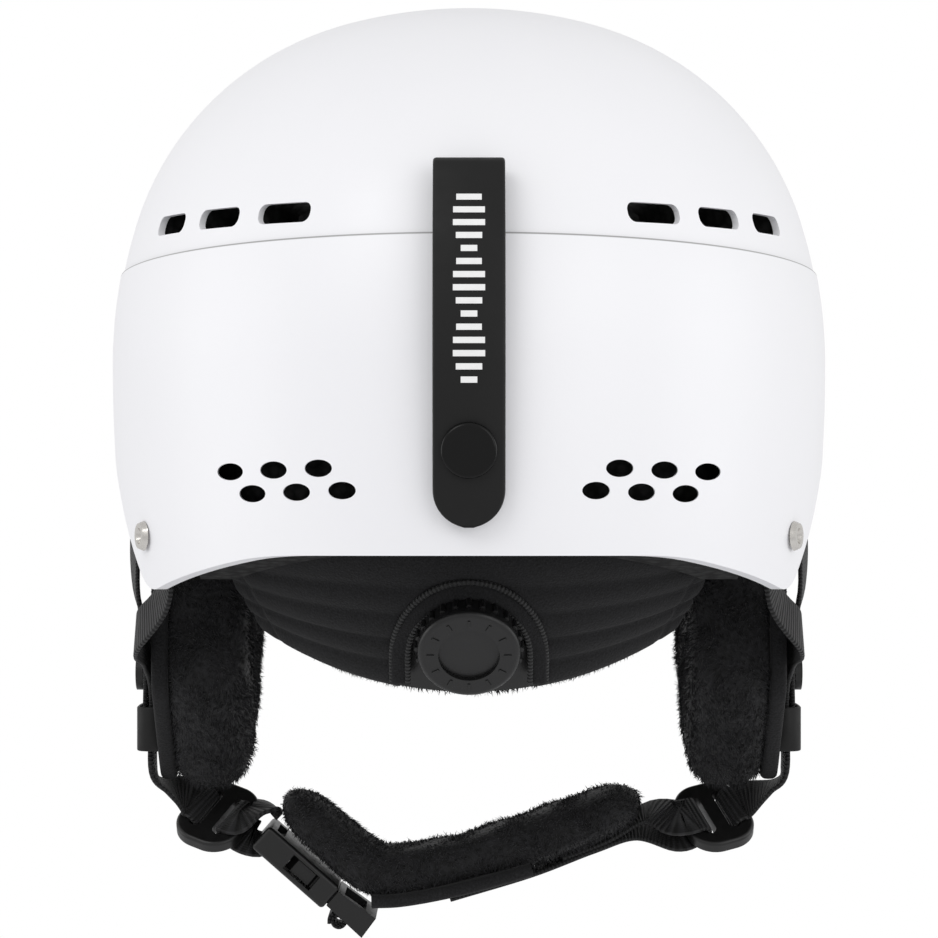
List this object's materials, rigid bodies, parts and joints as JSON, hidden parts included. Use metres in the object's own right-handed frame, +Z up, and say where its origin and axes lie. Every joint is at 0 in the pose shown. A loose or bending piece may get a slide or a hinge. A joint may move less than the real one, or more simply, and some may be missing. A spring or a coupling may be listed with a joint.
{
  "type": "ski helmet",
  "caption": "Hard-shell ski helmet with foam liner, plush ear pads, buckled padded chin strap, dial fit cradle and a snap-down goggle strap holder.",
  "frame": {"origin": "middle of the head opening, 146 mm below the crown, 20 mm above the rear harness rivets", "axes": "+Y towards the wearer's face, +X to the wearer's right, +Z up"},
  "size_m": [0.2261, 0.28, 0.2946],
  "materials": {
    "white_shell": "satin",
    "black_foam": "matt moulded foam",
    "black_plush": "soft pile",
    "black_cloth": "fine weave",
    "black_webbing": "ribbed weave",
    "black_rubber": "matt",
    "black_plastic": "satin",
    "steel": "polished",
    "hook_tape": "hook tape"
  },
  "bodies": {
    "shell": {"upper_shell": "white_shell", "lower_shell": "white_shell", "foam_liner": "black_foam", "strap_rivets": "steel", "crown_pad": "black_plush", "brow_pad": "black_plush", "side_pad_left": "black_plush", "side_pad_right": "black_plush", "hook_patches": "hook_tape", "strap_anchor": "black_rubber", "anchor_rivet": "steel", "snap_stud": "steel", "fit_bracket": "black_plastic", "ear_pad_left": "black_plush", "ear_pad_right": "black_plush", "ear_cover_left": "black_cloth", "ear_cover_right": "black_cloth", "ear_clip_left": "black_plastic", "ear_clip_right": "black_plastic", "strap_keeper_left": "black_rubber", "strap_keeper_right": "black_rubber", "rear_webbing_left": "black_webbing", "rear_webbing_right": "black_webbing", "front_webbing_left": "black_webbing", "front_webbing_right": "black_webbing", "keeper_snaps": "black_plastic"},
    "goggle_flap": {"goggle_flap": "black_rubber", "snap_socket": "steel", "snap_cap": "black_plastic"},
    "cradle": {"neck_cover": "black_cloth", "notch_binding": "black_cloth", "neck_plate": "black_plastic", "neck_fleece": "black_plush", "dial_housing": "black_plastic"},
    "dial": {"dial_knob": "black_plastic", "dial_pinion": "black_plastic"},
    "band_left": {"fit_band_left": "black_plastic"},
    "band_right": {"fit_band_right": "black_plastic"},
    "chin_strap": {"slider_left": "black_plastic", "slider_right": "black_plastic", "chin_webbing_left": "black_webbing", "chin_webbing_right": "black_webbing", "buckle_socket": "black_plastic", "chin_pad": "black_plush", "chin_pad_backing": "black_cloth"},
    "plug": {"buckle_plug": "black_plastic", "plug_webbing": "black_webbing"},
    "prong_front": {"prong_front": "black_plastic"},
    "prong_rear": {"prong_rear": "black_plastic"}
  },
  "joints": [
    {"name": "dial_turn", "type": "hinge", "parent": "cradle", "child": "dial", "pos_m": [0, -0.0876, -0.0492], "axis": [0, -0.8415, -0.5402], "range_deg": [0, 190]},
    {"name": "cradle_slide", "type": "slide", "parent": "shell", "child": "cradle", "axis": [0, 1, 0], "range_m": [0, 0.006]},
    {"name": "band_left_draw", "type": "hinge", "parent": "cradle", "child": "band_left", "pos_m": [0, -0.02, -0.04], "axis": [0, 0, 1], "range_deg": [0, 9]},
    {"name": "band_right_draw", "type": "hinge", "parent": "cradle", "child": "band_right", "pos_m": [0, -0.02, -0.04], "axis": [0, 0, -1], "range_deg": [0, 9]},
    {"name": "goggle_flap_open", "type": "hinge", "parent": "shell", "child": "goggle_flap", "pos_m": [0, -0.1285, 0.084], "axis": [-1, 0, 0], "range_deg": [0, 100]},
    {"name": "chin_strap_swing", "type": "hinge", "parent": "shell", "child": "chin_strap", "pos_m": [0, 0.006, -0.106], "axis": [1, 0, 0], "range_deg": [-40, 40]},
    {"name": "buckle_release", "type": "slide", "parent": "chin_strap", "child": "plug", "axis": [0.7507, 0, -0.6606], "range_m": [0, 0.022]},
    {"name": "prong_front_press", "type": "hinge", "parent": "plug", "child": "prong_front", "pos_m": [-0.04578, 0.014, -0.13523], "axis": [0.6606, 0, 0.7507], "range_deg": [0, 6.5], "stiffness_Nm_per_rad": 0.05},
    {"name": "prong_rear_press", "type": "hinge", "parent": "plug", "child": "prong_rear", "pos_m": [-0.04578, -0.002, -0.13523], "axis": [-0.6606, 0, -0.7507], "range_deg": [0, 6.5], "stiffness_Nm_per_rad": 0.05}
  ],
  "couplings": [
    {"joint": "cradle_slide", "follows": "dial_turn", "m_per_rad": 0.0018083},
    {"joint": "band_left_draw", "follows": "dial_turn", "ratio": 0.04736},
    {"joint": "band_right_draw", "follows": "dial_turn", "ratio": 0.04736}
  ]
}
